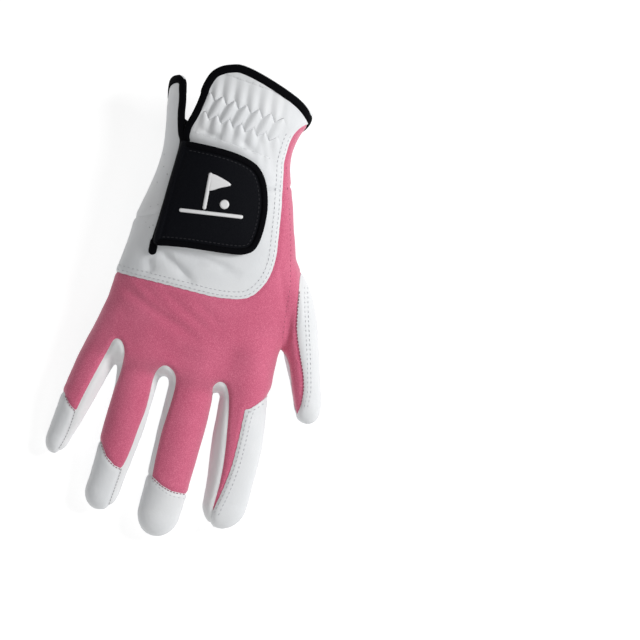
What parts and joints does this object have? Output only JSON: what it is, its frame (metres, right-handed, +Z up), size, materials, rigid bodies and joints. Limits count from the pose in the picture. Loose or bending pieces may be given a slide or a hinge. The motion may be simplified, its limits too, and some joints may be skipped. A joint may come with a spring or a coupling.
{
  "type": "golf glove",
  "caption": "Right-hand golf glove, laid palm down, with bending fingers and thumb and a hook-and-loop closure tab on its back.",
  "frame": {"origin": "on the surface the glove lies on, under the middle of its bounding box", "axes": "+X towards the thumb's side, +Y from the fingers to the cuff, +Z up out of the back of the hand"},
  "size_m": [0.1253, 0.2118, 0.0403],
  "materials": {
    "pink_fabric": "matte",
    "white_leather": "soft, slightly creased",
    "stretch_mesh": "matte",
    "black_tape": "matte",
    "black_tab": "satin",
    "hook_and_loop": "matte",
    "elastic": "matte",
    "white_rubber": "satin"
  },
  "bodies": {
    "hand": {"palm_panel": "white_leather", "back_panel": "pink_fabric", "back_yoke": "white_leather", "slit_binding_little_side": "black_tape", "slit_binding_thumb_side": "black_tape", "cuff_binding": "black_tape", "slit_end_tack": "black_tape", "elastic_band_upper": "elastic", "elastic_band_lower": "elastic", "loop_patch": "hook_and_loop", "fourchette_web_little_ring": "stretch_mesh", "fourchette_web_ring_middle": "stretch_mesh", "fourchette_web_middle_index": "stretch_mesh"},
    "closure_tab": {"tab_panel": "black_tab", "tab_binding": "black_tab", "hook_patch": "hook_and_loop", "tab_emblem": "white_rubber"},
    "thumb_base": {"thumb_leather_base": "white_leather", "thumb_strip_base": "pink_fabric"},
    "thumb_tip": {"thumb_leather_tip": "white_leather", "thumb_strip_tip": "pink_fabric"},
    "index_base": {"back_index_base": "pink_fabric", "fourchette_index_base": "stretch_mesh", "palm_index_base": "white_leather", "index_patch_base": "white_leather"},
    "index_tip": {"back_index_tip": "pink_fabric", "fourchette_index_tip": "stretch_mesh", "palm_index_tip": "white_leather", "index_patch_tip": "white_leather"},
    "middle_base": {"back_middle_base": "pink_fabric", "fourchette_middle_base": "stretch_mesh", "palm_middle_base": "white_leather"},
    "middle_tip": {"back_middle_tip": "pink_fabric", "fourchette_middle_tip": "stretch_mesh", "palm_middle_tip": "white_leather", "tip_cap_middle": "white_leather"},
    "ring_base": {"back_ring_base": "pink_fabric", "fourchette_ring_base": "stretch_mesh", "palm_ring_base": "white_leather"},
    "ring_tip": {"back_ring_tip": "pink_fabric", "fourchette_ring_tip": "stretch_mesh", "palm_ring_tip": "white_leather", "tip_cap_ring": "white_leather"},
    "little_base": {"back_little_base": "pink_fabric", "fourchette_little_base": "stretch_mesh", "palm_little_base": "white_leather"},
    "little_tip": {"back_little_tip": "pink_fabric", "fourchette_little_tip": "stretch_mesh", "palm_little_tip": "white_leather", "tip_cap_little": "white_leather"}
  },
  "joints": [
    {"name": "index_knuckle", "type": "hinge", "parent": "hand", "child": "index_base", "pos_m": [0.0283, -0.038, 0.0064], "axis": [0.9863, -0.165, 0], "range_deg": [0, 80], "stiffness_Nm_per_rad": 0.004},
    {"name": "index_middle_joint", "type": "hinge", "parent": "index_base", "child": "index_tip", "pos_m": [0.02384, -0.06463, 0.0066], "axis": [0.9863, -0.165, 0], "range_deg": [0, 90], "stiffness_Nm_per_rad": 0.004},
    {"name": "middle_knuckle", "type": "hinge", "parent": "hand", "child": "middle_base", "pos_m": [0.004, -0.035, 0.00665], "axis": [0.9732, -0.23, 0], "range_deg": [0, 80], "stiffness_Nm_per_rad": 0.004},
    {"name": "middle_middle_joint", "type": "hinge", "parent": "middle_base", "child": "middle_tip", "pos_m": [-0.00313, -0.06517, 0.00685], "axis": [0.9732, -0.23, 0], "range_deg": [0, 90], "stiffness_Nm_per_rad": 0.004},
    {"name": "ring_knuckle", "type": "hinge", "parent": "hand", "child": "ring_base", "pos_m": [-0.0195, -0.028, 0.00685], "axis": [0.9603, -0.279, 0], "range_deg": [0, 80], "stiffness_Nm_per_rad": 0.004},
    {"name": "ring_middle_joint", "type": "hinge", "parent": "ring_base", "child": "ring_tip", "pos_m": [-0.02759, -0.05585, 0.00705], "axis": [0.9603, -0.279, 0], "range_deg": [0, 90], "stiffness_Nm_per_rad": 0.004},
    {"name": "little_knuckle", "type": "hinge", "parent": "hand", "child": "little_base", "pos_m": [-0.0368, -0.02, 0.0066], "axis": [0.9085, -0.4179, 0], "range_deg": [0, 80], "stiffness_Nm_per_rad": 0.004},
    {"name": "little_middle_joint", "type": "hinge", "parent": "little_base", "child": "little_tip", "pos_m": [-0.04599, -0.03999, 0.0071], "axis": [0.9085, -0.4179, 0], "range_deg": [0, 90], "stiffness_Nm_per_rad": 0.004},
    {"name": "thumb_spread", "type": "hinge", "parent": "hand", "child": "thumb_base", "pos_m": [0.047, 0.008, 0.0097], "axis": [0, 0, 1], "range_deg": [0, 40], "stiffness_Nm_per_rad": 0.004},
    {"name": "thumb_bend", "type": "hinge", "parent": "thumb_base", "child": "thumb_tip", "pos_m": [0.05282, -0.02753, 0.00395], "axis": [0.9869, 0.1616, 0], "range_deg": [0, 60], "stiffness_Nm_per_rad": 0.004},
    {"name": "tab_open", "type": "hinge", "parent": "hand", "child": "closure_tab", "pos_m": [-0.0131, 0.028, 0.0312], "axis": [-0.2864, -0.9561, -0.0617], "range_deg": [0, 150], "stiffness_Nm_per_rad": 0.004}
  ]
}
